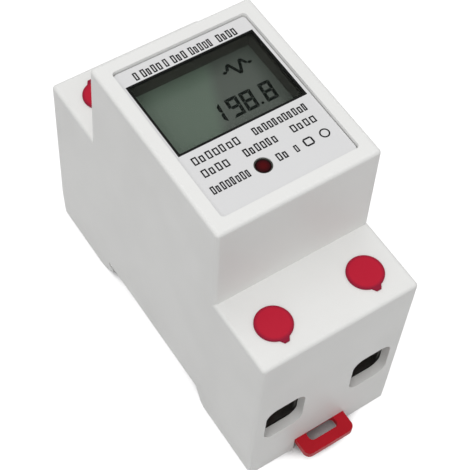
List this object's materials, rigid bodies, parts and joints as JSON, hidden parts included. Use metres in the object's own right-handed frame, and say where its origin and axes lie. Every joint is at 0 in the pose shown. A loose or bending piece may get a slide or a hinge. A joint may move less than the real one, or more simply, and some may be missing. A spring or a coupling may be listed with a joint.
{
  "type": "rail-mounted energy monitor",
  "caption": "Narrow white energy monitor for a 35 mm rail, with a raised display head, stepped shoulders with red screw plugs, cable holes and a red sliding rail clip.",
  "frame": {"origin": "middle of the rail seat, on the plane where the rail's front face meets the case", "axes": "+X across the width to the right as seen from the front, +Y towards the top of the display, +Z out of the front"},
  "size_m": [0.036, 0.083, 0.0697],
  "materials": {
    "housing_white": "fine satin moulded",
    "clear_plate": "clear polished",
    "label_film": "printed satin film",
    "black_plastic": "satin",
    "display_cell": "polarising film",
    "tinned_metal": "tinned",
    "pale_pad": "foam",
    "lamp_red": "tinted clear",
    "board_green": "solder mask",
    "screw_steel": "zinc plated",
    "zinc_steel": "zinc plated",
    "film_capacitor": "smooth",
    "dark_sleeve": "smooth",
    "varistor_blue": "dipped",
    "copper": "rolled",
    "shunt_alloy": "rolled",
    "plug_red": "satin moulded",
    "clip_red": "moulded",
    "spring_steel": "drawn"
  },
  "bodies": {
    "case": {"front_housing": "housing_white", "rear_base": "housing_white", "window_panel": "clear_plate", "face_label": "label_film", "lcd_bezel": "black_plastic", "lcd_glass": "display_cell", "lcd_pins": "tinned_metal", "lcd_pad": "pale_pad", "pulse_led": "lamp_red", "led_spacer": "black_plastic", "display_board": "board_green", "display_screws": "screw_steel", "board_header": "black_plastic", "main_board": "board_green", "board_screws": "screw_steel", "sense_leads": "tinned_metal", "supply_capacitor": "film_capacitor", "smoothing_capacitor": "dark_sleeve", "surge_varistor": "varistor_blue", "metering_chip": "black_plastic", "crystal": "tinned_metal", "neutral_bar": "copper", "live_bar_lower": "copper", "live_bar_upper": "copper", "shunt_strip": "shunt_alloy", "clip_spring": "spring_steel"},
    "clip": {"rail_clip": "clip_red"},
    "screw_upper_left": {"terminal_screw_upper_left": "screw_steel"},
    "cage_upper_left": {"terminal_cage_upper_left": "zinc_steel"},
    "plug_upper_left": {"screw_plug_upper_left": "plug_red"},
    "screw_upper_right": {"terminal_screw_upper_right": "screw_steel"},
    "cage_upper_right": {"terminal_cage_upper_right": "zinc_steel"},
    "plug_upper_right": {"screw_plug_upper_right": "plug_red"},
    "screw_lower_left": {"terminal_screw_lower_left": "screw_steel"},
    "cage_lower_left": {"terminal_cage_lower_left": "zinc_steel"},
    "plug_lower_left": {"screw_plug_lower_left": "plug_red"},
    "screw_lower_right": {"terminal_screw_lower_right": "screw_steel"},
    "cage_lower_right": {"terminal_cage_lower_right": "zinc_steel"},
    "plug_lower_right": {"screw_plug_lower_right": "plug_red"}
  },
  "joints": [
    {"name": "rail_clip_slide", "type": "slide", "parent": "case", "child": "clip", "axis": [0, -1, 0], "range_m": [0, 0.0045], "stiffness_N_per_m": 600, "springref_m": -0.003, "deforming": ["clip_spring"]},
    {"name": "turn_screw_upper_left", "type": "hinge", "parent": "case", "child": "screw_upper_left", "pos_m": [-0.0106, 0.0316, 0.03], "axis": [0, 0, -1], "range_deg": [0, 3150]},
    {"name": "lift_cage_upper_left", "type": "slide", "parent": "case", "child": "cage_upper_left", "axis": [0, 0, 1], "range_m": [0, 0.007]},
    {"name": "pull_plug_upper_left", "type": "slide", "parent": "case", "child": "plug_upper_left", "axis": [0, 0, 1], "range_m": [0, 0.012]},
    {"name": "turn_screw_upper_right", "type": "hinge", "parent": "case", "child": "screw_upper_right", "pos_m": [0.0106, 0.0316, 0.03], "axis": [0, 0, -1], "range_deg": [0, 3150]},
    {"name": "lift_cage_upper_right", "type": "slide", "parent": "case", "child": "cage_upper_right", "axis": [0, 0, 1], "range_m": [0, 0.007]},
    {"name": "pull_plug_upper_right", "type": "slide", "parent": "case", "child": "plug_upper_right", "axis": [0, 0, 1], "range_m": [0, 0.012]},
    {"name": "turn_screw_lower_left", "type": "hinge", "parent": "case", "child": "screw_lower_left", "pos_m": [-0.0106, -0.0316, 0.03], "axis": [0, 0, -1], "range_deg": [0, 3150]},
    {"name": "lift_cage_lower_left", "type": "slide", "parent": "case", "child": "cage_lower_left", "axis": [0, 0, 1], "range_m": [0, 0.007]},
    {"name": "pull_plug_lower_left", "type": "slide", "parent": "case", "child": "plug_lower_left", "axis": [0, 0, 1], "range_m": [0, 0.012]},
    {"name": "turn_screw_lower_right", "type": "hinge", "parent": "case", "child": "screw_lower_right", "pos_m": [0.0106, -0.0316, 0.03], "axis": [0, 0, -1], "range_deg": [0, 3150]},
    {"name": "lift_cage_lower_right", "type": "slide", "parent": "case", "child": "cage_lower_right", "axis": [0, 0, 1], "range_m": [0, 0.007]},
    {"name": "pull_plug_lower_right", "type": "slide", "parent": "case", "child": "plug_lower_right", "axis": [0, 0, 1], "range_m": [0, 0.012]}
  ],
  "couplings": [
    {"joint": "turn_screw_upper_left", "follows": "lift_cage_upper_left", "rad_per_m": 7854},
    {"joint": "turn_screw_upper_right", "follows": "lift_cage_upper_right", "rad_per_m": 7854},
    {"joint": "turn_screw_lower_left", "follows": "lift_cage_lower_left", "rad_per_m": 7854},
    {"joint": "turn_screw_lower_right", "follows": "lift_cage_lower_right", "rad_per_m": 7854}
  ]
}
